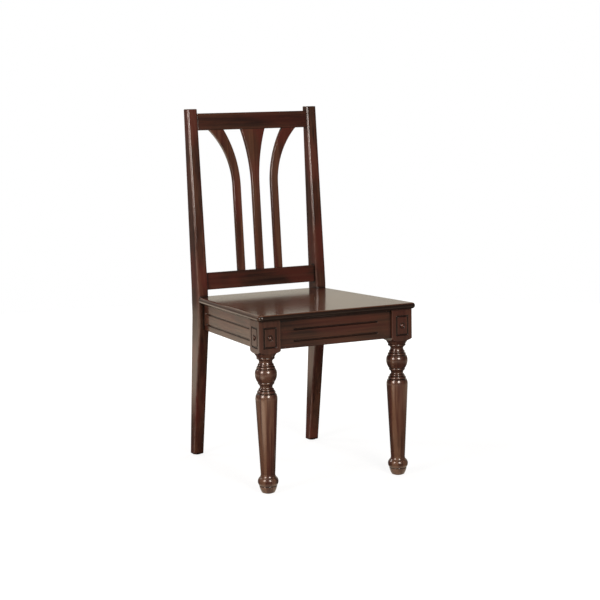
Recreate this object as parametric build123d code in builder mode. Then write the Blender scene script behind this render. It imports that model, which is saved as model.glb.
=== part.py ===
from build123d import *
import math
import os

# Wooden dining chair with turned front legs, raked rear posts and a back of three splats.
# Millimetres. +Z is up, the chair faces -Y, and +X is on the right of a person looking at its front.
# The origin is on the floor, under the middle of the chair's outline.
# "left" is the -X side and "right" the +X side.

# Overall
chair_height = 968.0
seat_height = 457.5
seat_slope = 0.9
back_width = 394.0

# Fits
joint_clearance = 0.2
mortise_end_gap = 1.2
pilot_clearance = 0.1

# Seat panel
seat_thickness = 15.5
seat_front_width = 455.0
seat_depth = 455.4
seat_tongue = 23.0
seat_corner_radius = 12.0
seat_top_round = 7.4
seat_under_round = 7.4
seat_overhang_front = 13.1
seat_overhang_side = 7.45

# Rear posts: width along X, depth along Y
post_width = 30.5
post_depth_seat = 50.0
post_depth_top = 25.5
post_depth_foot = 26.0
back_rake = 45.5
leg_rake = 64.0
front_knee_below_seat = 82.0
rear_knee_below_seat = 57.0
front_bend_above_seat = 13.0
rear_bend_above_seat = 23.0
post_bend_radius = 240.0
post_front_round = 5.5
post_rear_round = 2.5
post_top_round = 2.0
post_foot_chamfer = 1.0

# Front legs: square block at the top
block_size = 59.6
block_edge_round = 2.5
frame_groove_width = 5.0
frame_groove_depth = 2.6
groove_taper = 32.0
frame_side_margin = 11.0
frame_top_margin = 16.0
frame_bottom_margin = 5.0
button_radius = 5.6
button_rim = 1.2
button_dome = 4.4
button_recess_depth = 1.6
button_gap = 2.2
button_stem_radius = 4.0
button_stem_length = 8.0

# Front legs: turned part, stacked from the block downward
ovolo_height = 8.5
ovolo_lip = 1.0
ovolo_bulge = 1.6
cove_height = 11.0
cove_radius = 22.6
cove_hollow = 0.3
bead_step = 1.0
bead_bulge = 1.8
neck_hollow = 0.8
collar_height = 5.0
upper_neck_fall = 5.0
upper_neck_radius = 17.2
upper_neck_rise = 6.6
upper_bead_height = 6.4
upper_bead_radius = 18.4
ring_bead_height = 7.4
ring_bead_radius = 21.5
ball_top_height = 12.2
ball_top_radius = 25.0
ball_radius = 28.3
ball_foot_height = 21.0
ball_foot_radius = 21.8
under_bead_height = 6.2
under_bead_radius = 19.0
lower_neck_fall = 6.6
lower_neck_radius = 16.2
lower_neck_rise = 3.6
lower_bead_height = 5.5
lower_bead_radius = 17.6
wide_bead_height = 8.8
wide_bead_radius = 21.2
shoulder_height = 15.5
shoulder_lip_radius = 25.3
shoulder_radius = 28.0
shoulder_bulge = 1.1

# Front legs: turned part, stacked from the floor glide upward
sole_radius = 16.6
bun_height = 16.5
bun_radius = 22.8
bun_bulge = 0.8
foot_groove_height = 2.0
foot_groove_depth = 1.2
foot_ring_height = 20.0
foot_ring_edge_radius = 22.8
foot_ring_bulge = 3.6
flare_height = 11.0
flare_hollow = 1.2
ankle_radius = 18.7

# Aprons
apron_height = 75.0
front_apron_thickness = 20.0
front_apron_setback = 7.0
side_apron_thickness = 18.0
side_apron_front_setback = 12.3
side_apron_rear_setback = 15.0
rear_apron_thickness = 18.0
rear_apron_setback = 14.0
apron_edge_round = 1.5
tenon_shoulder = 8.0
front_tenon_thickness = 9.0
front_tenon_length = 25.0
side_tenon_thickness = 7.0
side_tenon_inset = 2.5
side_tenon_length = 16.0
rear_tenon_thickness = 8.0
rear_tenon_length = 18.0

# Routed lines on the aprons
line_width = 5.5
line_depth = 2.8
line_lower_height = 17.5
line_upper_height = 47.0
front_line_margin = 38.5
side_line_front_margin = 30.0
side_line_rear_margin = 14.0

# Back: rails and splats lie about one leaning plane behind the posts' front faces
crest_rail_height = 46.0
crest_below_top = 12.5
lower_rail_height = 47.0
lower_rail_above_seat = 15.3
rail_thickness = 16.0
rail_edge_round = 2.0
crest_plane_setback = 11.7
lower_plane_setback = 16.6
rail_tenon_thickness = 8.0
rail_tenon_length = 18.0
rail_tenon_shoulder = 7.0
splat_thickness = 12.0
splat_edge_chamfer = 1.0
splat_tenon_thickness = 6.0
splat_tenon_length = 12.0
splat_tenon_shoulder = 3.0
centre_splat_width = 22.2
centre_flare_radius = 510.0
centre_flare_length = 157.0
side_splat_width = 21.8
side_splat_offset = 57.4
side_outer_radius = 222.0
side_outer_length = 155.0
side_inner_radius = 318.0
side_inner_length = 159.0

# Corner blocks and their screws
corner_block_thickness = 24.0
corner_block_height = 45.0
corner_block_gap = 3.0
rear_corner_margin = 8.0
screw_radius = 2.0
screw_head_radius = 4.2
screw_head_height = 2.6
screw_tip_length = 4.0
screw_slot_width = 1.0
screw_slot_depth = 1.2
apron_screw_length = 24.0
apron_screw_bite = 13.0
seat_screw_length = 32.0
seat_screw_bite = 11.0
counterbore_clearance = 0.4

# Floor glides
glide_thickness = 2.0
front_glide_radius = 12.0
rear_glide_radius = 10.0
glide_edge_round = 0.6
nail_radius = 1.3
nail_length = 16.0
nail_head_radius = 3.2
nail_head_height = 0.7
nail_head_inset = 0.4

# Places worked out from the sizes
sides = ((-1, "left"), (1, "right"))
seat_front_y = -(seat_depth + leg_rake + post_depth_foot) / 2
post_front_y = seat_front_y + seat_depth
leg_front_y = seat_front_y + seat_overhang_front
leg_axis_y = leg_front_y + block_size / 2
leg_back_y = leg_front_y + block_size
leg_axis_x = seat_front_width / 2 - seat_overhang_side - block_size / 2
leg_inner_x = leg_axis_x - block_size / 2
leg_outer_x = leg_axis_x + block_size / 2
post_outer_x = back_width / 2
post_inner_x = post_outer_x - post_width
front_apron_y = leg_front_y + front_apron_setback + front_apron_thickness / 2
rear_apron_y = post_front_y + rear_apron_setback + rear_apron_thickness / 2
rear_foot_x = post_outer_x - post_width / 2
rear_foot_y = post_front_y + leg_rake + post_depth_foot / 2
nail_tip_z = nail_head_inset + nail_length

# The seat and its aprons slope down toward the rear; seat_height is their height in the middle
seat_tilt = math.radians(seat_slope)
seat_normal = Axis((0, 0, 0), (0, math.sin(seat_tilt), math.cos(seat_tilt)))
seat_plane = Plane(origin=(0, 0, seat_height), x_dir=(1, 0, 0), z_dir=seat_normal.direction)
seat_under_plane = seat_plane.offset(-seat_thickness)
apron_foot_plane = seat_under_plane.offset(-apron_height)


def seat_under_at(y):
    """Height of the seat's underside at a depth y."""
    return seat_under_plane.origin.Z - (y - seat_under_plane.origin.Y) * math.tan(seat_tilt)


def apron_foot_at(y):
    """Height of the aprons' bottom edges at a depth y."""
    return apron_foot_plane.origin.Z - (y - apron_foot_plane.origin.Y) * math.tan(seat_tilt)


frame_top = seat_under_at(leg_front_y)
block_foot = apron_foot_at(leg_axis_y)
front_apron_foot = apron_foot_at(front_apron_y)
rear_apron_foot = apron_foot_at(rear_apron_y)

os.makedirs("parts", exist_ok=True)


def save(piece, node):
    """Labels a finished piece and writes its STEP file."""
    piece.part.label = node
    export_step(piece.part, f"parts/{node}.step")


def prism(outline, bottom, top, mode=Mode.ADD):
    """Upright prism over a closed outline of X, Y points."""
    with BuildSketch(Plane.XY.offset(bottom)) as base:
        with BuildLine():
            Polyline(*outline, close=True)
        make_face()
    extrude(base.sketch, amount=top - bottom, mode=mode)


def bore(start, direction, depth, radius):
    """Round hole from a point along a direction."""
    with BuildSketch(Plane(origin=start, z_dir=direction)) as mouth:
        Circle(radius)
    extrude(mouth.sketch, amount=depth, mode=Mode.SUBTRACT)


def trim(plane, amount):
    """Cuts away what lies beyond a sloping plane of the seat frame."""
    with BuildSketch(plane) as cover:
        Rectangle(chair_height, chair_height)
    extrude(cover.sketch, amount=amount, mode=Mode.SUBTRACT)


# Tenons of the aprons, and the mortises for them
def tenon_cut(outline, shoulder_y, clearance, mode):
    """Tenon over an outline, or its mortise when it has a clearance, inside an apron's height."""
    low = apron_foot_at(shoulder_y) + tenon_shoulder
    high = seat_under_at(shoulder_y) - tenon_shoulder
    prism(outline, low - clearance, high + clearance, mode)


def cross_tenon(side, shoulder_x, length, middle_y, thickness, clearance, mode=Mode.ADD):
    """Tenon along X on the end of the front or rear apron, or the cut for its mortise."""
    end_x = side * (shoulder_x + length)
    half = thickness / 2 + clearance
    outline = [
        (side * shoulder_x, middle_y - half),
        (end_x, middle_y - half),
        (end_x, middle_y + half),
        (side * shoulder_x, middle_y + half),
    ]
    tenon_cut(outline, middle_y, clearance, mode)


def side_apron_x(y, inset):
    """Half-width of the seat frame at a side apron, at a depth y and a distance inside its outer face."""
    front_x = leg_outer_x - side_apron_front_setback
    rear_x = post_outer_x - side_apron_rear_setback
    return front_x + (rear_x - front_x) * (y - leg_back_y) / (post_front_y - leg_back_y) - inset


def side_strip(side, near_y, far_y, outer_inset, inner_inset):
    """Outline of a strip of a side apron between two depths and two distances inside its outer face."""
    return [
        (side * side_apron_x(near_y, outer_inset), near_y),
        (side * side_apron_x(far_y, outer_inset), far_y),
        (side * side_apron_x(far_y, inner_inset), far_y),
        (side * side_apron_x(near_y, inner_inset), near_y),
    ]


def side_tenon(side, shoulder_y, end_y, clearance, mode=Mode.ADD):
    """Tenon on the end of a side apron, or the cut for its mortise."""
    outer_inset = side_tenon_inset - clearance
    inner_inset = side_tenon_inset + side_tenon_thickness + clearance
    tenon_cut(side_strip(side, shoulder_y, end_y, outer_inset, inner_inset), shoulder_y, clearance, mode)


# Corner blocks: braces across the four angles of the seat frame
def corner_frame(side, end):
    """Inside corner of the frame: its point, the ways along its aprons and the brace's distance from it."""
    slope = (side_apron_x(post_front_y, 0) - side_apron_x(leg_back_y, 0)) / (post_front_y - leg_back_y)
    along_side = Vector(side * slope, 1, 0).normalized()
    along_cross = Vector(-side, 0, 0)
    if end == "front":
        y = front_apron_y + front_apron_thickness / 2
        x = side_apron_x(y, side_apron_thickness)
        leg_reach = (x - leg_inner_x) + (leg_back_y - y)
        return Vector(side * x, y, 0), along_cross, along_side, leg_reach + corner_block_gap * math.sqrt(2)
    y = rear_apron_y - rear_apron_thickness / 2
    x = side_apron_x(y, side_apron_thickness)
    return Vector(side * x, y, 0), along_cross, along_side * -1, rear_apron_setback + rear_corner_margin


corners = [(side, word, end) for end in ("front", "rear") for side, word in sides]
brace_width = corner_block_thickness * math.sqrt(2)


def seat_screw_place(side, end):
    """Point on the seat's underside above the middle of a corner block."""
    corner, along_cross, along_side, reach = corner_frame(side, end)
    place = corner + (along_cross + along_side) * ((reach + brace_width / 2) / 2)
    return place + Vector(0, 0, seat_under_at(place.Y))


def apron_screw_places(side, end):
    """For each of a corner block's two screws: its point on the apron's inner face and its direction."""
    corner, along_cross, along_side, reach = corner_frame(side, end)
    height = Vector(0, 0, seat_screw_place(side, end).Z - corner_block_height / 2)
    places = []
    for along, other in ((along_cross, along_side), (along_side, along_cross)):
        into = (along * along.dot(other) - other).normalized()
        places.append((corner + along * (reach + brace_width / 2) + height, into))
    return places


# Front legs: a square block turned to beads, a ball and a taper below it
def turned_outline(start, steps):
    """Outline of a turning downward, in steps of drop, end radius and bulge; gives the last point."""
    point = start
    for drop, radius, bulge in steps:
        end = (radius, point[1] - drop)
        if bulge:
            SagittaArc(point, end, bulge)
        else:
            Line(point, end)
        point = end
    return point


def swell(drop, spread):
    """Bulge of an arc that stands upright at the widest ring of a turning, for its drop and spread."""
    chord = math.hypot(drop, spread)
    arc_radius = chord**2 / (2 * spread)
    return arc_radius - math.sqrt(arc_radius**2 - (chord / 2) ** 2)


pommel_radius = block_size / math.sqrt(2) + ovolo_lip
upper_steps = [
    (frame_top - block_foot, pommel_radius, 0),
    (ovolo_height, block_size / 2 + ovolo_lip, ovolo_bulge),
    (0, block_size / 2, 0),
    (cove_height, cove_radius, -cove_hollow),
    (0, cove_radius - bead_step, 0),
    (collar_height, cove_radius - bead_step, bead_bulge),
    (upper_neck_fall, upper_neck_radius, -neck_hollow),
]
upper_neck_z = frame_top - sum(step[0] for step in upper_steps)
shoulder_steps = [
    (upper_neck_rise, upper_bead_radius, -neck_hollow / 2),
    (upper_bead_height, upper_bead_radius + bead_step, bead_bulge),
    (0, ring_bead_radius, 0),
    (ring_bead_height, ring_bead_radius + bead_step, bead_bulge),
    (0, ball_top_radius, 0),
    (ball_top_height, ball_radius, swell(ball_top_height, ball_radius - ball_top_radius)),
    (ball_foot_height, ball_foot_radius, swell(ball_foot_height, ball_radius - ball_foot_radius)),
    (0, under_bead_radius + bead_step, 0),
    (under_bead_height, under_bead_radius, bead_bulge),
    (lower_neck_fall, lower_neck_radius, -neck_hollow),
    (lower_neck_rise, lower_bead_radius, -neck_hollow / 2),
    (lower_bead_height, lower_bead_radius + bead_step, bead_bulge),
    (0, wide_bead_radius, 0),
    (wide_bead_height, wide_bead_radius + bead_step, bead_bulge),
    (0, shoulder_lip_radius, 0),
    (shoulder_height, shoulder_radius, shoulder_bulge),
]
foot_steps = [
    (flare_height, foot_ring_edge_radius - bead_step, -flare_hollow),
    (0, foot_ring_edge_radius, 0),
    (foot_ring_height, foot_ring_edge_radius, foot_ring_bulge),
    (foot_groove_height / 2, bun_radius - foot_groove_depth, 0),
    (foot_groove_height / 2, bun_radius, 0),
    (bun_height, sole_radius, bun_bulge),
]
turned_drop = sum(step[0] for step in shoulder_steps + foot_steps)
taper_drop = upper_neck_z - glide_thickness - turned_drop
lower_steps = shoulder_steps + [(taper_drop, ankle_radius, 0)] + foot_steps
frame_width = block_size - 2 * frame_side_margin
frame_height = apron_height - frame_top_margin - frame_bottom_margin
panel_width = frame_width - 2 * frame_groove_width
panel_height = frame_height - 2 * frame_groove_width
button_z = block_foot + frame_bottom_margin + frame_height / 2


def block_faces(side):
    """Planes at the button's place on the front and outer faces of a leg's block, facing outward."""
    front = Plane(origin=(side * leg_axis_x, leg_front_y, button_z), x_dir=(1, 0, 0), z_dir=(0, -1, 0))
    outer = Plane(origin=(side * leg_outer_x, leg_axis_y, button_z), x_dir=(0, side, 0), z_dir=(side, 0, 0))
    return {"front": front, "side": outer}


for side, word in sides:
    leg_x = side * leg_axis_x
    leg_plane = Plane(origin=(leg_x, leg_axis_y, 0), x_dir=(1, 0, 0), z_dir=(0, -1, 0))
    leg_axis = Axis((leg_x, leg_axis_y, 0), (0, 0, 1))
    with BuildPart() as front_leg:
        with BuildSketch(leg_plane):
            with BuildLine():
                neck = turned_outline((pommel_radius, frame_top), upper_steps)
                Polyline(neck, (0, upper_neck_z), (0, frame_top), (pommel_radius, frame_top))
            make_face()
        revolve(axis=leg_axis)
        with BuildSketch(Plane.XY.offset(upper_neck_z)):
            with Locations((leg_x, leg_axis_y)):
                RectangleRounded(block_size, block_size, block_edge_round)
        extrude(amount=frame_top - upper_neck_z, mode=Mode.INTERSECT)
        trim(seat_under_plane, apron_height)
        with BuildSketch(leg_plane):
            with BuildLine():
                sole = turned_outline((upper_neck_radius, upper_neck_z), lower_steps)
                Polyline(sole, (0, glide_thickness), (0, upper_neck_z), (upper_neck_radius, upper_neck_z))
            make_face()
        revolve(axis=leg_axis)
        for face in block_faces(side).values():
            with BuildSketch(face):
                Rectangle(frame_width, frame_height)
                Rectangle(panel_width, panel_height, mode=Mode.SUBTRACT)
            extrude(amount=-frame_groove_depth, taper=groove_taper, mode=Mode.SUBTRACT)
            bore(face.origin, -face.z_dir, button_recess_depth, button_radius + button_gap)
            stem_hole_depth = button_recess_depth + button_stem_length + mortise_end_gap
            bore(face.origin, -face.z_dir, stem_hole_depth, button_stem_radius + pilot_clearance)
        cross_tenon(
            side,
            leg_inner_x,
            front_tenon_length + mortise_end_gap,
            front_apron_y,
            front_tenon_thickness,
            joint_clearance,
            Mode.SUBTRACT,
        )
        mortise_y = leg_back_y - side_tenon_length - mortise_end_gap
        side_tenon(side, leg_back_y, mortise_y, joint_clearance, Mode.SUBTRACT)
        bore((leg_x, leg_axis_y, 0), (0, 0, 1), nail_tip_z + pilot_clearance, nail_radius + pilot_clearance)
    save(front_leg, f"front_leg_{word}")

    for place, face in block_faces(side).items():
        with BuildPart() as button:
            button_seat = face.offset(-button_recess_depth).origin
            button_plane = Plane(button_seat, face.x_dir, face.x_dir.cross(face.z_dir))
            with BuildSketch(button_plane):
                with BuildLine():
                    Polyline(
                        (0, button_rim + button_dome),
                        (0, -button_stem_length),
                        (button_stem_radius, -button_stem_length),
                        (button_stem_radius, 0),
                        (button_radius, 0),
                        (button_radius, button_rim),
                    )
                    TangentArc((0, button_rim + button_dome), (button_radius, button_rim), tangent=(1, 0))
                make_face()
            revolve(axis=Axis(face.origin, face.z_dir))
        save(button, f"{place}_button_{word}")

# The leaning plane through the middle of the back's thickness, from the middle of the lower rail
front_bend_z = seat_height + front_bend_above_seat


def post_front_at(height):
    """Y of the posts' front faces at a height above their bend."""
    return post_front_y + back_rake * (height - front_bend_z) / (chair_height - front_bend_z)


crest_z = chair_height - crest_below_top - crest_rail_height / 2
lower_rail_z = seat_height + lower_rail_above_seat + lower_rail_height / 2
crest_y = post_front_at(crest_z) + crest_plane_setback
lower_rail_y = post_front_at(lower_rail_z) + lower_plane_setback
back_lean = math.atan2(crest_y - lower_rail_y, crest_z - lower_rail_z)
crest_middle = math.hypot(crest_y - lower_rail_y, crest_z - lower_rail_z)
back_plane = Plane(
    origin=(0, lower_rail_y, lower_rail_z),
    x_dir=(1, 0, 0),
    z_dir=(0, -math.cos(back_lean), math.sin(back_lean)),
)
rails = {"lower_back_rail": (0, lower_rail_height), "crest_rail": (crest_middle, crest_rail_height)}
splat_bottom = lower_rail_height / 2
splat_top = crest_middle - crest_rail_height / 2


def back_slab(centre, width, low, high, thickness, mode=Mode.ADD):
    """Slab in the leaning plane of the back, between two distances up that plane."""
    with BuildSketch(back_plane) as outline:
        with Locations((centre, (low + high) / 2)):
            Rectangle(width, high - low)
    extrude(outline.sketch, amount=thickness / 2, both=True, mode=mode)


def rail_tenons(middle, height, clearance, end_gap, mode=Mode.ADD):
    """Both tenons of a back rail as one slab through it, or the cut for their mortises."""
    back_slab(
        0,
        2 * (post_inner_x + rail_tenon_length + end_gap),
        middle - height / 2 + rail_tenon_shoulder - clearance,
        middle + height / 2 - rail_tenon_shoulder + clearance,
        rail_tenon_thickness + 2 * clearance,
        mode,
    )


# Rear posts: each sawn from one board, raked above and below the seat
post_outline = [
    (post_front_y + leg_rake, glide_thickness),
    (post_front_y, seat_height - front_knee_below_seat),
    (post_front_y, front_bend_z),
    (post_front_y + back_rake, chair_height),
    (post_front_y + back_rake + post_depth_top, chair_height),
    (post_front_y + post_depth_seat, seat_height + rear_bend_above_seat),
    (post_front_y + post_depth_seat, seat_height - rear_knee_below_seat),
    (post_front_y + leg_rake + post_depth_foot, glide_thickness),
]
for side, word in sides:
    with BuildPart() as rear_post:
        with BuildSketch(Plane.YZ.offset(side * rear_foot_x)) as board:
            with BuildLine():
                Polyline(*post_outline, close=True)
            make_face()
            bends = board.vertices().sort_by(Axis.Y)[2:-2]
            fillet(bends, radius=post_bend_radius)
        extrude(amount=post_width / 2, both=True)
        front_faces = rear_post.faces().filter_by(lambda face: face.normal_at().Y < -0.5)
        fillet(front_faces.edges().filter_by(Axis.X, reverse=True), radius=post_front_round)
        rear_faces = rear_post.faces().filter_by(lambda face: face.normal_at().Y > 0.9)
        fillet(rear_faces.edges().filter_by(Axis.X, reverse=True), radius=post_rear_round)
        fillet(rear_post.faces().sort_by(Axis.Z)[-1].edges(), radius=post_top_round)
        chamfer(rear_post.faces().sort_by(Axis.Z)[0].edges(), length=post_foot_chamfer)
        mortise_y = post_front_y + side_tenon_length + mortise_end_gap
        side_tenon(side, post_front_y, mortise_y, joint_clearance, Mode.SUBTRACT)
        cross_tenon(
            side,
            post_inner_x,
            rear_tenon_length + mortise_end_gap,
            rear_apron_y,
            rear_tenon_thickness,
            joint_clearance,
            Mode.SUBTRACT,
        )
        for middle, height in rails.values():
            rail_tenons(middle, height, joint_clearance, mortise_end_gap, Mode.SUBTRACT)
        bore(
            (side * rear_foot_x, rear_foot_y, 0),
            (0, 0, 1),
            nail_tip_z + pilot_clearance,
            nail_radius + pilot_clearance,
        )
    save(rear_post, f"rear_post_{word}")


# Splats: upright strips between the back rails, flaring or sweeping outward near the crest
def sweep_out(radius, length):
    """How far an edge that curves away from the upright has moved sideways after a length of rise."""
    return radius - math.sqrt(radius**2 - length**2)


side_outer_low = side_splat_offset + side_splat_width / 2
side_inner_low = side_splat_offset - side_splat_width / 2
side_outer_top = side_outer_low + sweep_out(side_outer_radius, side_outer_length)
side_inner_top = side_inner_low + sweep_out(side_inner_radius, side_inner_length)
centre_top_half = centre_splat_width / 2 + sweep_out(centre_flare_radius, centre_flare_length)
splat_feet = {"centre_splat": (0, centre_splat_width)}
splat_heads = {"centre_splat": (0, 2 * centre_top_half)}
splat_edges = {
    "centre_splat": [
        (-1, -centre_splat_width / 2, centre_flare_radius, centre_flare_length),
        (1, centre_splat_width / 2, centre_flare_radius, centre_flare_length),
    ]
}
for side, word in sides:
    splat_feet[f"side_splat_{word}"] = (side * side_splat_offset, side_splat_width)
    head_centre = side * (side_outer_top + side_inner_top) / 2
    splat_heads[f"side_splat_{word}"] = (head_centre, side_outer_top - side_inner_top)
    splat_edges[f"side_splat_{word}"] = [
        (side, side * side_inner_low, side_inner_radius, side_inner_length),
        (side, side * side_outer_low, side_outer_radius, side_outer_length),
    ]


def splat_tenon(centre, width, low, high, clearance, mode=Mode.ADD):
    """Tenon of a splat, or the cut for its mortise."""
    back_slab(
        centre,
        width - 2 * splat_tenon_shoulder + 2 * clearance,
        low,
        high,
        splat_tenon_thickness + 2 * clearance,
        mode,
    )


for node, edges in splat_edges.items():
    with BuildPart() as splat:
        with BuildSketch(back_plane):
            with BuildLine():
                tops = []
                for away, low_x, radius, length in edges:
                    bend = (low_x, splat_top - length)
                    tops.append((low_x + away * sweep_out(radius, length), splat_top))
                    Line((low_x, splat_bottom), bend)
                    TangentArc(bend, tops[-1], tangent=(0, 1))
                Line(*tops)
                Line(*[(low_x, splat_bottom) for away, low_x, radius, length in edges])
            make_face()
        extrude(amount=splat_thickness / 2, both=True)
        broad_faces = splat.faces().sort_by(SortBy.AREA)[-2:]
        chamfer(broad_faces.edges().filter_by(Axis.X, reverse=True), length=splat_edge_chamfer)
        splat_tenon(*splat_feet[node], splat_bottom - splat_tenon_length, splat_bottom, 0)
        splat_tenon(*splat_heads[node], splat_top, splat_top + splat_tenon_length, 0)
    save(splat, node)

# Back rails, tenoned into the posts and mortised for the splats
splat_mortise_depth = splat_tenon_length + mortise_end_gap
splat_mortises = {
    "lower_back_rail": (splat_feet, splat_bottom - splat_mortise_depth, splat_bottom),
    "crest_rail": (splat_heads, splat_top, splat_top + splat_mortise_depth),
}
for node, (middle, height) in rails.items():
    splat_ends, mortise_low, mortise_high = splat_mortises[node]
    with BuildPart() as rail:
        back_slab(0, 2 * post_inner_x, middle - height / 2, middle + height / 2, rail_thickness)
        fillet(rail.edges().filter_by(Axis.X), radius=rail_edge_round)
        rail_tenons(middle, height, 0, 0)
        for centre, width in splat_ends.values():
            splat_tenon(centre, width, mortise_low, mortise_high, joint_clearance, Mode.SUBTRACT)
    save(rail, node)


# Aprons
def routed_lines(face, length):
    """Two long round-ended grooves, one above the other, on a face that starts at the apron's bottom."""
    with BuildSketch(face) as lines:
        with Locations((0, line_lower_height), (0, line_upper_height)):
            SlotOverall(length, line_width)
    extrude(lines.sketch, amount=-line_depth, taper=groove_taper, mode=Mode.SUBTRACT)


def pilot_holes(wanted_side, wanted_end, index):
    """Pilot holes for the corner block screws that enter one apron."""
    start, into = apron_screw_places(wanted_side, wanted_end)[index]
    bore(start, into, apron_screw_bite + pilot_clearance, screw_radius + pilot_clearance)


front_apron_face = Plane(
    origin=(0, front_apron_y - front_apron_thickness / 2, front_apron_foot),
    x_dir=(1, 0, 0),
    z_dir=(0, -1, 0),
)
with BuildPart() as front_apron:
    with BuildSketch(Plane.XY.offset(front_apron_foot)):
        with Locations((0, front_apron_y)):
            Rectangle(2 * leg_inner_x, front_apron_thickness)
    extrude(amount=frame_top - front_apron_foot)
    trim(seat_under_plane, apron_height)
    fillet(front_apron.faces().sort_by(Axis.Z)[0].edges().filter_by(Axis.X), radius=apron_edge_round)
    routed_lines(front_apron_face, 2 * (leg_inner_x - front_line_margin))
    for side, word in sides:
        cross_tenon(
            side,
            leg_inner_x,
            front_tenon_length,
            front_apron_y,
            front_tenon_thickness,
            0,
        )
        pilot_holes(side, "front", 0)
save(front_apron, "front_apron")

for side, word in sides:
    front_x = side * side_apron_x(leg_back_y, 0)
    rear_x = side * side_apron_x(post_front_y, 0)
    front_foot = Vector(front_x, leg_back_y, apron_foot_at(leg_back_y))
    run = Vector(rear_x, post_front_y, apron_foot_at(post_front_y)) - front_foot
    along = run.normalized()
    line_length = run.length - side_line_front_margin - side_line_rear_margin
    line_middle = side_line_front_margin + line_length / 2
    side_apron_face = Plane(
        origin=front_foot + along * line_middle,
        x_dir=along * side,
        z_dir=(along * side).cross(Vector(0, 0, 1)),
    )
    with BuildPart() as side_apron:
        board = side_strip(side, leg_back_y, post_front_y, 0, side_apron_thickness)
        prism(board, rear_apron_foot, frame_top)
        trim(seat_under_plane, apron_height)
        trim(apron_foot_plane, -apron_height)
        long_edges = side_apron.faces().sort_by(Axis.Z)[0].edges().sort_by(SortBy.LENGTH)[-2:]
        fillet(long_edges, radius=apron_edge_round)
        routed_lines(side_apron_face, line_length)
        side_tenon(side, leg_back_y, leg_back_y - side_tenon_length, 0)
        side_tenon(side, post_front_y, post_front_y + side_tenon_length, 0)
        pilot_holes(side, "front", 1)
        pilot_holes(side, "rear", 1)
    save(side_apron, f"side_apron_{word}")

with BuildPart() as rear_apron:
    with BuildSketch(Plane.XY.offset(rear_apron_foot)):
        with Locations((0, rear_apron_y)):
            Rectangle(2 * post_inner_x, rear_apron_thickness)
    extrude(amount=frame_top - rear_apron_foot)
    trim(seat_under_plane, apron_height)
    fillet(rear_apron.faces().sort_by(Axis.Z)[0].edges().filter_by(Axis.X), radius=apron_edge_round)
    for side, word in sides:
        cross_tenon(side, post_inner_x, rear_tenon_length, rear_apron_y, rear_tenon_thickness, 0)
        pilot_holes(side, "rear", 0)
save(rear_apron, "rear_apron")

# Seat panel: flush with the posts' outer faces at the rear, with a tongue between the posts
seat_rear_y = post_front_y - joint_clearance - seat_thickness * math.sin(seat_tilt)
tongue_x = post_inner_x - joint_clearance
seat_half = [
    (seat_front_width / 2, seat_front_y),
    (post_outer_x, seat_rear_y),
    (tongue_x, seat_rear_y),
    (tongue_x, post_front_y + seat_tongue),
]
seat_outline = seat_half + [(-x, y) for x, y in reversed(seat_half)]
with BuildPart() as seat_panel:
    with BuildSketch(seat_under_plane):
        with BuildLine():
            Polyline(*seat_outline, close=True)
        make_face()
    extrude(amount=seat_thickness)
    fillet(seat_panel.edges().filter_by(seat_normal).group_by(Axis.Y)[0], radius=seat_corner_radius)
    for face_index, radius in ((-1, seat_top_round), (0, seat_under_round)):
        rim = seat_panel.faces().filter_by(seat_normal).sort_by(Axis.Z)[face_index].edges()
        fillet(rim.filter_by_position(Axis.Y, seat_front_y, seat_rear_y - seat_tongue), radius=radius)
    for side, word, end in corners:
        bore(
            seat_screw_place(side, end) - Vector(0, 0, seat_screw_bite),
            (0, 0, 1),
            2 * seat_screw_bite + pilot_clearance,
            screw_radius + pilot_clearance,
        )
save(seat_panel, "seat_panel")

# Corner blocks, bored for two screws into the aprons and one into the seat
apron_screw_stand = apron_screw_length - apron_screw_bite
seat_screw_stand = seat_screw_length - seat_screw_bite
counterbore_radius = screw_head_radius + counterbore_clearance
for side, word, end in corners:
    corner, along_cross, along_side, reach = corner_frame(side, end)
    brace = [
        corner + along_cross * reach,
        corner + along_cross * (reach + brace_width),
        corner + along_side * (reach + brace_width),
        corner + along_side * reach,
    ]
    seat_screw_top = seat_screw_place(side, end)
    with BuildPart() as corner_block:
        prism([(point.X, point.Y) for point in brace], seat_screw_top.Z - corner_block_height, frame_top)
        trim(seat_under_plane, apron_height)
        for start, into in apron_screw_places(side, end):
            bore(start, -into, brace_width, screw_radius + pilot_clearance)
            head_seat = start - into * (apron_screw_stand - screw_head_height)
            bore(head_seat, -into, brace_width, counterbore_radius)
        bore(
            seat_screw_top + Vector(0, 0, seat_screw_bite),
            (0, 0, -1),
            seat_screw_bite + corner_block_height,
            screw_radius + pilot_clearance,
        )
        head_seat = seat_screw_top - Vector(0, 0, seat_screw_stand - screw_head_height)
        bore(head_seat, (0, 0, -1), corner_block_height, counterbore_radius)
    save(corner_block, f"corner_block_{end}_{word}")


# Wood screws: slotted flat heads, with their tops at the plane they are driven from
def screw_outline(length):
    """Half outline of a screw, from the middle of its head to its point."""
    Polyline(
        (0, 0),
        (screw_head_radius, 0),
        (screw_head_radius, screw_head_height),
        (screw_radius, screw_head_height),
        (screw_radius, length - screw_tip_length),
        (0, length),
        close=True,
    )


def screw_slot():
    """Slot across a screw's head."""
    with BuildSketch(Plane.XY) as slot:
        Rectangle(2 * screw_head_radius, screw_slot_width)
    extrude(slot.sketch, amount=screw_slot_depth, mode=Mode.SUBTRACT)


with BuildPart() as apron_screw:
    with BuildSketch(Plane.XZ):
        with BuildLine():
            screw_outline(apron_screw_length)
        make_face()
    revolve(axis=Axis.Z)
    screw_slot()

with BuildPart() as seat_screw:
    with BuildSketch(Plane.XZ):
        with BuildLine():
            screw_outline(seat_screw_length)
        make_face()
    revolve(axis=Axis.Z)
    screw_slot()

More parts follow.
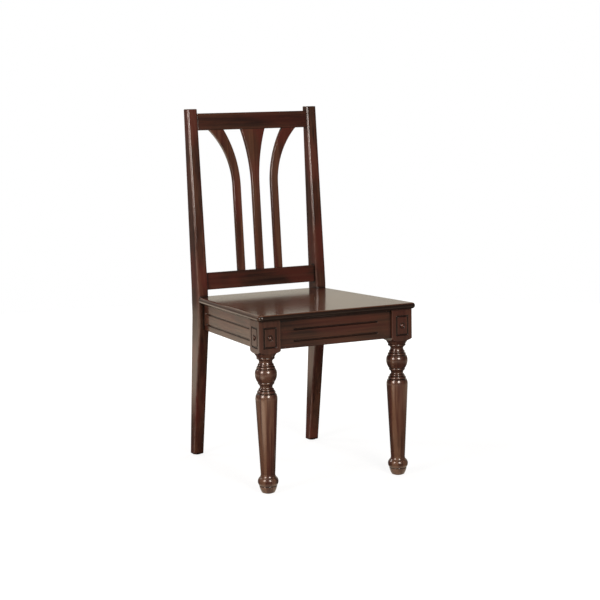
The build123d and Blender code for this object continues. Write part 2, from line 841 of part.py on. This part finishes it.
with BuildPart() as corner_block_screws:
    for side, word, end in corners:
        for start, into in apron_screw_places(side, end):
            with Locations(Plane(origin=start - into * apron_screw_stand, z_dir=into)):
                add(apron_screw.part)
save(corner_block_screws, "corner_block_screws")

with BuildPart() as seat_screws:
    for side, word, end in corners:
        with Locations(seat_screw_place(side, end) - Vector(0, 0, seat_screw_stand)):
            add(seat_screw.part)
save(seat_screws, "seat_screws")

# Floor glides, each nailed up into its foot
feet = []
for side, word in sides:
    feet.append((f"front_glide_{word}", (side * leg_axis_x, leg_axis_y), front_glide_radius))
    feet.append((f"rear_glide_{word}", (side * rear_foot_x, rear_foot_y), rear_glide_radius))
for node, place, radius in feet:
    with BuildPart() as glide:
        with BuildSketch(Plane.XY):
            with Locations(place):
                Circle(radius)
        extrude(amount=glide_thickness)
        fillet(glide.faces().sort_by(Axis.Z)[0].edges(), radius=glide_edge_round)
        bore((*place, 0), (0, 0, 1), glide_thickness, nail_radius + pilot_clearance)
        bore((*place, 0), (0, 0, 1), nail_head_inset + nail_head_height, nail_head_radius + pilot_clearance)
    save(glide, node)

with BuildPart() as nail:
    with BuildSketch(Plane.XZ):
        with BuildLine():
            Polyline(
                (0, nail_head_inset),
                (nail_head_radius, nail_head_inset),
                (nail_head_radius, nail_head_inset + nail_head_height),
                (nail_radius, nail_head_inset + nail_head_height),
                (nail_radius, nail_tip_z - 2 * nail_radius),
                (0, nail_tip_z),
                close=True,
            )
        make_face()
    revolve(axis=Axis.Z)

with BuildPart() as glide_nails:
    with Locations(*[place for node, place, radius in feet]):
        add(nail.part)
save(glide_nails, "glide_nails")
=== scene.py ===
import math

import bpy
from mathutils import Matrix, Vector


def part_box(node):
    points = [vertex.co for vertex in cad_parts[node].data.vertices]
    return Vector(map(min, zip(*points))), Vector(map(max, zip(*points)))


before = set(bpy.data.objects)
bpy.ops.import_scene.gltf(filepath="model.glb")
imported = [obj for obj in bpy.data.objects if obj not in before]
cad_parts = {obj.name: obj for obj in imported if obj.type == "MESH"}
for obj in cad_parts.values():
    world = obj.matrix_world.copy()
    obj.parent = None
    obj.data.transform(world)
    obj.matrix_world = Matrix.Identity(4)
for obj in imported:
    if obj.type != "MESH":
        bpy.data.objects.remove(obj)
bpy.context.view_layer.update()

# Camera: angles in degrees, lengths in metres, lens and sensor in millimetres
camera_azimuth = -26.27
camera_elevation = 7.79
camera_roll = -1.05
camera_distance = 4.2024
camera_target = Vector((0.00795, -0.0303, 0.45754))
camera_lens = 94.15
camera_sensor = 36.0

# Colours of the wood, as linear colours: its stains, then the pale colour of wear and painted highlight,
# and three of painted shade
stain_dark = (0.017, 0.0056, 0.0038, 1)
stain_middle = (0.052, 0.0160, 0.0085, 1)
stain_light = (0.125, 0.047, 0.0205, 1)
stain_red = (0.078, 0.0150, 0.0095, 1)
stain_golden = (0.155, 0.075, 0.042, 1)
# Pale colour of worn edges and of the painted highlight on the posts' front corners
wear_and_highlight_colour = (0.31, 0.220, 0.188, 1)
# Painted shade: on a front leg's beads and block, on the seat's rim and underside, and in grooves and
# corners
painted_bead_shade = (0.036, 0.0080, 0.0056, 1)
painted_rim_shade = (0.0055, 0.0026, 0.0019, 1)
painted_groove_shade = (0.0030, 0.0016, 0.0013, 1)

# Heights on a front leg, in metres, between which its taper turns into beads and its beads into a block
taper_end = (0.238, 0.262)
block_start = (0.356, 0.368)

# Wood, in metres: the step from one piece's figure to the next, and how round its edges look
figure_step = (0.37, 0.113, 0.071)
edge_radius = 0.0018

# Ways that grain runs
across = (1, 0, 0)
lengthwise = (0, 1, 0)
upright = (0, 0, 1)
splat_low, splat_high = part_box("centre_splat")
back_rise = (0, splat_high.y - splat_low.y, splat_high.z - splat_low.z)

# Floor, in metres: a disc that glows white to the camera, less so near the chair, whose shadow it keeps
white = (1, 1, 1, 1)
floor_radius = 3.3
floor_segments = 96
white_near_chair = 0.845

# Painted glow of the floor, seen only in reflections, with a patch on the left and a spot round each front
# foot; these start at the first of their radii, in metres, and are full at the second
painted_glow_colour = (1, 0.86, 0.68, 1)
glow_patch_place = (-0.78, -0.50, 0)
glow_patch_radii = (0.42, 0.10)
glow_patch_strength = 1.8
right_foot_place = (0.19, -0.237, 0)
glow_spot_radii = (0.085, 0.045)
glow_spot_strength = 0.6

# World: even light for the surfaces, and a room for reflections that is pale behind the chair and above it
ambient_colour = (0.19, 0.19, 0.19, 1)
backdrop_colour = (0.57, 0.53, 0.445, 1)
far_floor_colour = (0.13, 0.12, 0.11, 1)
room_colour = (0.09, 0.085, 0.08, 1)
ceiling_colour = (1.55, 1.5, 1.3, 1)


def direction(azimuth, elevation):
    """Unit vector from the chair toward a place round it, in degrees; azimuth 0 is the front."""
    turn = math.radians(azimuth)
    rise = math.radians(elevation)
    return Vector((math.sin(turn) * math.cos(rise), -math.cos(turn) * math.cos(rise), math.sin(rise)))


# Node helpers
def add_node(tree, kind, inputs=None, **settings):
    """New shader node with its settings; an input is given as a value or as the socket that feeds it."""
    node = tree.nodes.new(kind)
    for key, value in settings.items():
        setattr(node, key, value)
    for key, value in (inputs or {}).items():
        if isinstance(value, bpy.types.NodeSocket):
            tree.links.new(value, node.inputs[key])
        else:
            node.inputs[key].default_value = value
    return node


def new_material(name):
    """Material with an empty tree of nodes."""
    material = bpy.data.materials.new(name)
    material.use_nodes = True
    material.node_tree.nodes.clear()
    return material, material.node_tree


def show_shader(tree, shader):
    """Ends a material's tree with the shader that it shows."""
    add_node(tree, "ShaderNodeOutputMaterial", {"Surface": shader})


def show_surface(tree, inputs):
    """Ends a material's tree with a surface of these inputs."""
    show_shader(tree, add_node(tree, "ShaderNodeBsdfPrincipled", inputs).outputs["BSDF"])


def object_place(tree):
    """Place on the chair or the floor, in metres."""
    return add_node(tree, "ShaderNodeTexCoord").outputs["Object"]


def parts_of(tree, vector):
    """The X, Y and Z of a vector."""
    return add_node(tree, "ShaderNodeSeparateXYZ", {"Vector": vector}).outputs


def noise(tree, place, scale, detail=3.0, roughness=0.5, distortion=0.0):
    """Grey noise over a place, with a scale for each axis."""
    vector = add_node(tree, "ShaderNodeMapping", {"Vector": place, "Scale": scale}).outputs["Vector"]
    inputs = {
        "Vector": vector,
        "Scale": 1.0,
        "Detail": detail,
        "Roughness": roughness,
        "Distortion": distortion,
    }
    return add_node(tree, "ShaderNodeTexNoise", inputs).outputs["Fac"]


def ramp(tree, factor, low, high, bottom=0.0, top=1.0):
    """Smooth step of a grey value from one range to another."""
    inputs = {"Value": factor, "From Min": low, "From Max": high, "To Min": bottom, "To Max": top}
    return add_node(tree, "ShaderNodeMapRange", inputs, interpolation_type="SMOOTHSTEP").outputs["Result"]


def math_node(tree, operation, first, second):
    """Result of one operation on two grey values."""
    return add_node(tree, "ShaderNodeMath", {0: first, 1: second}, operation=operation).outputs[0]


def product(tree, first, *others):
    """Grey values multiplied by each other."""
    for other in others:
        first = math_node(tree, "MULTIPLY", first, other)
    return first


def measure(tree, operation, first, second):
    """Number that one operation on two vectors gives."""
    node = add_node(tree, "ShaderNodeVectorMath", {0: first, 1: second}, operation=operation)
    return node.outputs["Value"]


def mix(tree, factor, first, second):
    """Colour mixed from two others; the node's colours go in at 6 and 7 and come out at 2."""
    return add_node(tree, "ShaderNodeMix", {0: factor, 6: first, 7: second}, data_type="RGBA").outputs[2]


def bumped(tree, height, strength, distance, **below):
    """Normal of a surface with a fine relief, over another normal if one is given as Normal."""
    inputs = {"Height": height, "Strength": strength, "Distance": distance, **below}
    return add_node(tree, "ShaderNodeBump", inputs).outputs["Normal"]


# Places on the pieces
def wood_coordinates(tree, grain, seed):
    """Place in metres with X along the grain, moved by a seed so that no two pieces share a figure."""
    turn = Vector(grain).normalized().rotation_difference(Vector((1, 0, 0))).to_euler()
    shift = [step * seed for step in figure_step]
    inputs = {"Vector": object_place(tree), "Rotation": turn, "Location": shift}
    return add_node(tree, "ShaderNodeMapping", inputs).outputs["Vector"]


def edge_mask(tree, softened):
    """1 where an edge is near, told by how far the softened normal leans from the plain one."""
    plain = add_node(tree, "ShaderNodeNewGeometry").outputs["Normal"]
    return ramp(tree, measure(tree, "DOT_PRODUCT", softened, plain), 0.98, 0.80)


def normal_parts(tree):
    """The X, Y and Z of the mesh's own normal."""
    return parts_of(tree, add_node(tree, "ShaderNodeNewGeometry").outputs["True Normal"])


def corner_highlight_mask(tree):
    """Where the painted highlight goes: 1 on the rounded front corners of an upright piece, more toward
    its sides than toward its front.
    """
    parts = normal_parts(tree)
    sideways = math_node(tree, "ABSOLUTE", parts["X"], 0)
    return product(tree, ramp(tree, parts["Y"], -0.06, -0.2), ramp(tree, sideways, 0.5, 0.75))


def rim_shade_share(tree):
    """Share of painted shade on the seat below its top, most of it on the front rim."""
    parts = normal_parts(tree)
    below = ramp(tree, parts["Z"], 0.92, 0.6)
    return product(tree, below, ramp(tree, parts["Y"], -0.3, -0.7, 0.60, 0.95))


def height_above_floor(tree):
    """Height of a place on the chair, in metres."""
    return parts_of(tree, object_place(tree))["Z"]


def bead_shade_share(tree):
    """Share of painted shade on a front leg: none on its taper, most on its beads, less on its block."""
    height = height_above_floor(tree)
    beads = ramp(tree, height, *taper_end, 0.0, 0.55)
    return product(tree, beads, ramp(tree, height, *block_start, 1.0, 0.80))


def turned_gold(tree):
    """Share of golden bands on a front leg: large where it is turned, small on its square block."""
    return ramp(tree, height_above_floor(tree), *block_start, 0.78, 0.234)


def turned_shine(tree):
    """Soft shine of a front leg: strong where it is turned, weak on its square block."""
    return ramp(tree, height_above_floor(tree), *block_start, 0.50, 0.20)


# Wood under lacquer
def stained_colour(tree, wood, tone, red, golden):
    """Colour of stained wood from its dark, middle and light streaks, red blotches and golden bands."""
    streaks = noise(tree, wood, (5, 150, 150), detail=5, roughness=0.62, distortion=0.4)
    figure = noise(tree, wood, (2.2, 34, 34), distortion=0.8)
    blotches = noise(tree, wood, (7, 16, 16), detail=2)
    bands = noise(tree, wood, (1.5, 55, 55), roughness=0.55, distortion=0.3)
    level = math_node(tree, "ADD", product(tree, streaks, 0.55), product(tree, figure, 0.45))
    colour = mix(tree, ramp(tree, level, tone - 0.16, tone + 0.03), stain_dark, stain_middle)
    colour = mix(tree, ramp(tree, level, tone + 0.02, tone + 0.22), colour, stain_light)
    colour = mix(tree, ramp(tree, blotches, 0.40, 0.62, 0.0, red), colour, stain_red)
    return mix(tree, ramp(tree, bands, 0.43, 0.59, 0.0, golden), colour, stain_golden)


def wear_and_highlight_share(tree, wood, softened, highlight_corners):
    """Share of pale colour: worn off the edges and, where asked for, a painted highlight on the rounded
    front corners.
    """
    patchy = noise(tree, wood, (24, 60, 60), roughness=0.6)
    edges = product(tree, edge_mask(tree, softened), ramp(tree, patchy, 0.3, 0.75, 0.04, 0.32))
    if not highlight_corners:
        return edges
    corners = product(tree, corner_highlight_mask(tree), ramp(tree, patchy, 0.3, 0.6, 0.06, 0.30))
    return math_node(tree, "MAXIMUM", edges, corners)


def painted_shade_share(tree, reach, depth, own_corners):
    """Share of painted shade in grooves and corners, with or without the corners that other pieces make.
    """
    settings = {"samples": 8, "only_local": own_corners}
    cavity = add_node(tree, "ShaderNodeAmbientOcclusion", {"Distance": reach}, **settings)
    return ramp(tree, cavity.outputs["AO"], 0.95, 0.60, 0.0, depth)


def lacquered_wood(
    name,
    seed,
    grain=across,
    tone=0.54,
    red=0.70,
    golden=0.10,
    shine=0.10,
    lacquer_roughness=0.10,
    shade_reach=0.010,
    shade_depth=0.90,
    own_corners=False,
    highlight_corners=False,
    extra_shade=None,
):
    """Stained wood with streaks, pores and worn edges under a clear lacquer, and painted shade in its
    grooves.

    A higher tone is darker. Golden and shine are numbers, or functions that give a socket. The extra shade
    is a function that gives the share of a painted shade, and its colour.
    """
    material, tree = new_material(name)
    wood = wood_coordinates(tree, grain, seed)
    pits = noise(tree, wood, (70, 1500, 1500), detail=2, roughness=0.6)
    pores = ramp(tree, pits, 0.60, 0.72, 0.0, 0.55)
    fibres = noise(tree, wood, (30, 900, 900), roughness=0.6)
    peel = noise(tree, wood, (160, 160, 160), detail=2)
    softened = add_node(tree, "ShaderNodeBevel", {"Radius": edge_radius}, samples=8).outputs["Normal"]
    colour = stained_colour(tree, wood, tone, red, golden(tree) if callable(golden) else golden)
    colour = mix(tree, pores, colour, stain_dark)
    # A painted shade that the piece asks for
    if extra_shade:
        share, shade_colour = extra_shade
        colour = mix(tree, share(tree), colour, shade_colour)
    # Worn edges and, on the posts, a painted highlight on the rounded front corners
    colour = mix(tree, wear_and_highlight_share(tree, wood, softened, highlight_corners), colour, wear_and_highlight_colour)
    # Painted shade in grooves and corners
    colour = mix(tree, painted_shade_share(tree, shade_reach, shade_depth, own_corners), colour, painted_groove_shade)
    relief = math_node(tree, "SUBTRACT", product(tree, fibres, 0.35), pores)
    inputs = {
        "Base Color": colour,
        "Roughness": ramp(tree, fibres, 0.3, 0.7, 0.32, 0.46),
        "Normal": bumped(tree, relief, strength=0.25, distance=0.0002, Normal=softened),
        "Specular IOR Level": shine(tree) if callable(shine) else shine,
        "Specular Tint": (1, 0.80, 0.66, 1),
        "Coat Weight": 1.0,
        "Coat Roughness": lacquer_roughness,
        "Coat IOR": 1.5,
        "Coat Normal": bumped(tree, peel, strength=0.06, distance=0.0006, Normal=softened),
    }
    show_surface(tree, inputs)
    return material


# Other materials
def plain_wood(name, grain, seed):
    """Bare planed wood of the hidden blocks."""
    material, tree = new_material(name)
    wood = wood_coordinates(tree, grain, seed)
    streaks = noise(tree, wood, (6, 130, 130), detail=5, roughness=0.6, distortion=0.5)
    saw = noise(tree, wood, (420, 12, 12), detail=2)
    colour = mix(tree, ramp(tree, streaks, 0.32, 0.7), (0.36, 0.21, 0.10, 1), (0.56, 0.38, 0.21, 1))
    colour = mix(tree, ramp(tree, saw, 0.5, 0.8, 0.0, 0.25), colour, (0.30, 0.17, 0.08, 1))
    inputs = {
        "Base Color": colour,
        "Roughness": ramp(tree, streaks, 0.3, 0.7, 0.62, 0.82),
        "Normal": bumped(tree, math_node(tree, "ADD", streaks, saw), strength=0.3, distance=0.0003),
    }
    show_surface(tree, inputs)
    return material


def zinc_steel(name):
    """Zinc plated steel of the screws and nails, with turning marks and dull patches."""
    material, tree = new_material(name)
    place = object_place(tree)
    patches = noise(tree, place, (160, 160, 160), detail=4, roughness=0.6)
    marks = noise(tree, place, (900, 900, 3000), detail=2)
    colour = mix(tree, ramp(tree, patches, 0.35, 0.7), (0.50, 0.50, 0.52, 1), (0.66, 0.65, 0.60, 1))
    inputs = {
        "Base Color": colour,
        "Metallic": 1.0,
        "Roughness": ramp(tree, patches, 0.3, 0.75, 0.22, 0.42),
        "Normal": bumped(tree, marks, strength=0.2, distance=0.0001),
    }
    show_surface(tree, inputs)
    return material


def glide_plastic(name):
    """Dark moulded plastic of the floor glides, with pale scuffs."""
    material, tree = new_material(name)
    place = object_place(tree)
    cloud = noise(tree, place, (90, 90, 90), detail=4, roughness=0.6)
    scuffs = noise(tree, place, (60, 900, 300), roughness=0.6)
    colour = mix(tree, cloud, (0.010, 0.008, 0.007, 1), (0.022, 0.018, 0.015, 1))
    colour = mix(tree, ramp(tree, scuffs, 0.6, 0.75, 0.0, 0.5), colour, (0.09, 0.085, 0.08, 1))
    inputs = {
        "Base Color": colour,
        "Roughness": ramp(tree, cloud, 0.3, 0.7, 0.42, 0.62),
        "Normal": bumped(tree, scuffs, strength=0.25, distance=0.0002),
    }
    show_surface(tree, inputs)
    return material


def painted_floor_glow(tree, place, away):
    """Strength of the floor's painted glow in reflections: broad and stronger on the left, with the patch
    and the spots.
    """
    parts = parts_of(tree, place)
    leftward = ramp(tree, parts["X"], 0.5, -0.5, 0.50, 1.0)
    inner_end = ramp(tree, away, 0.7, 1.4, 0.0, 0.80)
    outer_end = ramp(tree, away, 1.9, 2.9, 1.0, 0.6)
    from_patch = measure(tree, "DISTANCE", place, glow_patch_place)
    patch = ramp(tree, from_patch, *glow_patch_radii, 0.0, glow_patch_strength)
    right_half = {"X": math_node(tree, "ABSOLUTE", parts["X"], 0), "Y": parts["Y"]}
    folded = add_node(tree, "ShaderNodeCombineXYZ", right_half).outputs["Vector"]
    from_foot = measure(tree, "DISTANCE", folded, right_foot_place)
    spots = ramp(tree, from_foot, *glow_spot_radii, 0.0, glow_spot_strength)
    broad = product(tree, inner_end, leftward, outer_end)
    return math_node(tree, "MAXIMUM", math_node(tree, "ADD", broad, patch), spots)


def floor_paper(name):
    """Pale paper: white to the camera with a faint shadow; in reflections a darker paper with a warm
    painted glow.
    """
    material, tree = new_material(name)
    path = add_node(tree, "ShaderNodeLightPath").outputs
    seen = path["Is Camera Ray"]
    reflected = path["Is Glossy Ray"]
    place = object_place(tree)
    away = measure(tree, "DISTANCE", place, (0, 0, 0))
    fleck = noise(tree, place, (40, 40, 40), detail=2)
    paper = mix(tree, fleck, (0.60, 0.58, 0.55, 1), (0.64, 0.62, 0.59, 1))
    paper = mix(tree, seen, paper, (0.24, 0.24, 0.24, 1))
    # Painted reflection: the paper shows darker in reflections than to the camera or in bounced light
    paper = mix(tree, reflected, paper, (0.10, 0.09, 0.08, 1))
    diffuse = add_node(tree, "ShaderNodeBsdfDiffuse", {"Color": paper})
    shown = product(tree, seen, ramp(tree, away, 0.5, 1.6, white_near_chair, 1.0))
    # Painted glow that only reflections see
    reflected_glow = product(tree, reflected, painted_floor_glow(tree, place, away))
    strength = math_node(tree, "ADD", shown, reflected_glow)
    colour = mix(tree, reflected, white, painted_glow_colour)
    glow = add_node(tree, "ShaderNodeEmission", {"Color": colour, "Strength": strength})
    both = add_node(tree, "ShaderNodeAddShader", {0: diffuse.outputs[0], 1: glow.outputs[0]})
    show_shader(tree, both.outputs[0])
    return material


# Lacquered pieces, by the start of their names, and what sets each apart from the usual lacquered wood
button_wood = {
    "grain": upright,
    "tone": 0.50,
    "golden": 0.30,
    "shine": 0.20,
    "lacquer_roughness": 0.08,
    "shade_reach": 0.008,
}
wood_of = {
    "front_leg": {
        "grain": upright,
        "tone": 0.53,
        "red": 0.45,
        "golden": turned_gold,
        "shine": turned_shine,
        "lacquer_roughness": 0.09,
        "shade_reach": 0.020,
        "shade_depth": 0.95,
        "own_corners": True,
        # Painted shade on the beads and block
        "extra_shade": (bead_shade_share, painted_bead_shade),
    },
    # Posts get a painted highlight on their rounded front corners
    "rear_post": {"grain": upright, "tone": 0.53, "red": 1.00, "golden": 0.22, "highlight_corners": True},
    "front_button": button_wood,
    "side_button": button_wood,
    "centre_splat": {"grain": back_rise, "tone": 0.50, "red": 0.95, "golden": 0.28},
    "side_splat": {"grain": back_rise, "tone": 0.48, "red": 0.95, "golden": 0.34},
    "crest_rail": {"tone": 0.57, "red": 0.42, "shine": 0.08},
    "lower_back_rail": {"shine": 0.08},
    "front_apron": {"tone": 0.60, "red": 0.42, "shade_reach": 0.012},
    "rear_apron": {"golden": 0.20},
    "side_apron": {
        "grain": lengthwise,
        "tone": 0.51,
        "golden": 0.30,
        "shade_reach": 0.012,
        "shade_depth": 0.70,
    },
    "seat_panel": {
        "tone": 0.33,
        "red": 0.90,
        "golden": 0.06,
        "shine": 0.12,
        "lacquer_roughness": 0.13,
        "shade_reach": 0.008,
        # Painted shade on the rim and underside
        "extra_shade": (rim_shade_share, painted_rim_shade),
    },
}


def set_material(node, material):
    """Puts one material on a node in place of the ones it came with from model.glb."""
    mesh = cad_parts[node].data
    mesh.materials.clear()
    mesh.materials.append(material)


# Materials of the pieces
steel = zinc_steel("zinc_steel")
plastic = glide_plastic("glide_plastic")
for seed, node in enumerate(sorted(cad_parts), 1):
    family = next((key for key in wood_of if node.startswith(key)), None)
    if family:
        set_material(node, lacquered_wood(f"lacquer_{node}", seed, **wood_of[family]))
    elif node.startswith("corner_block_") and node != "corner_block_screws":
        set_material(node, plain_wood(f"bare_{node}", across, seed))
    elif "glide_" in node and node != "glide_nails":
        set_material(node, plastic)
    else:
        set_material(node, steel)

# Floor
rim = []
for step in range(floor_segments):
    angle = 2 * math.pi * step / floor_segments
    rim.append((floor_radius * math.cos(angle), floor_radius * math.sin(angle), 0))
floor_mesh = bpy.data.meshes.new("floor")
floor_mesh.from_pydata(rim, [], [list(range(floor_segments))])
floor = bpy.data.objects.new("floor", floor_mesh)
bpy.context.scene.collection.objects.link(floor)
floor_mesh.materials.append(floor_paper("floor_paper"))


def studio_world(name):
    """World that is white to the camera, lights surfaces evenly and shows a room in reflections."""
    world = bpy.data.worlds.new(name)
    world.use_nodes = True
    tree = world.node_tree
    tree.nodes.clear()
    path = add_node(tree, "ShaderNodeLightPath").outputs
    ray = add_node(tree, "ShaderNodeTexCoord").outputs["Generated"]
    rise = measure(tree, "DOT_PRODUCT", ray, (0, 0, 1))
    behind = measure(tree, "DOT_PRODUCT", ray, -direction(camera_azimuth, 0))
    pale = mix(tree, ramp(tree, rise, 0.02, -0.05), backdrop_colour, far_floor_colour)
    room = mix(tree, ramp(tree, behind, 0.66, 0.90), room_colour, pale)
    room = mix(tree, ramp(tree, rise, 0.90, 0.97), room, ceiling_colour)
    colour = mix(tree, path["Is Glossy Ray"], ambient_colour, room)
    clear = math_node(tree, "MAXIMUM", path["Is Camera Ray"], path["Is Transmission Ray"])
    colour = mix(tree, clear, colour, white)
    background = add_node(tree, "ShaderNodeBackground", {"Color": colour, "Strength": 1.0})
    add_node(tree, "ShaderNodeOutputWorld", {"Surface": background.outputs[0]})
    return world


bpy.context.scene.world = studio_world("studio")


def soft_box(name, azimuth, elevation, distance, width, radiance, warmth, reflected=True):
    """Round lamp that faces the chair's middle, with the radiance of its face; a fill isn't reflected."""
    lamp = bpy.data.lights.new(name, "AREA")
    lamp.shape = "DISK"
    lamp.size = width
    face = math.pi * width * width / 4
    lamp.energy = radiance * math.pi * face
    lamp.color = warmth
    holder = bpy.data.objects.new(name, lamp)
    toward = direction(azimuth, elevation)
    holder.location = camera_target + toward * distance
    holder.rotation_euler = toward.to_track_quat("Z", "Y").to_euler()
    holder.visible_glossy = reflected
    bpy.context.scene.collection.objects.link(holder)


# Lamps: soft boxes on the left and in front, a small bright one behind on the left, and two fills behind
soft_box("left_box", -66, 17, 2.4, width=0.92, radiance=13, warmth=(1, 0.89, 0.83))
soft_box("front_box", -3, 19, 2.6, width=0.86, radiance=20, warmth=(1, 0.94, 0.88))
soft_box("rear_glint", -135, 22, 2.6, width=0.36, radiance=34, warmth=(1, 0.93, 0.88))
soft_box("right_fill", 128, 14, 3.0, width=1.6, radiance=3.4, warmth=(0.92, 0.97, 1), reflected=False)
soft_box("back_fill", 178, 14, 3.0, width=1.6, radiance=4.5, warmth=(1, 0.96, 0.92), reflected=False)

# Camera
back = direction(camera_azimuth, camera_elevation)
right = direction(camera_azimuth + 90, 0)
up = back.cross(right)
roll = math.radians(camera_roll)
camera_right = right * math.cos(roll) + up * math.sin(roll)
camera_up = up * math.cos(roll) - right * math.sin(roll)
lens = bpy.data.cameras.new("camera")
lens.sensor_width = camera_sensor
lens.lens = camera_lens
camera = bpy.data.objects.new("camera", lens)
turned = Matrix((camera_right, camera_up, back)).transposed().to_4x4()
camera.matrix_world = Matrix.Translation(camera_target + back * camera_distance) @ turned
bpy.context.scene.collection.objects.link(camera)
bpy.context.scene.camera = camera
bpy.context.scene.view_settings.view_transform = "Standard"
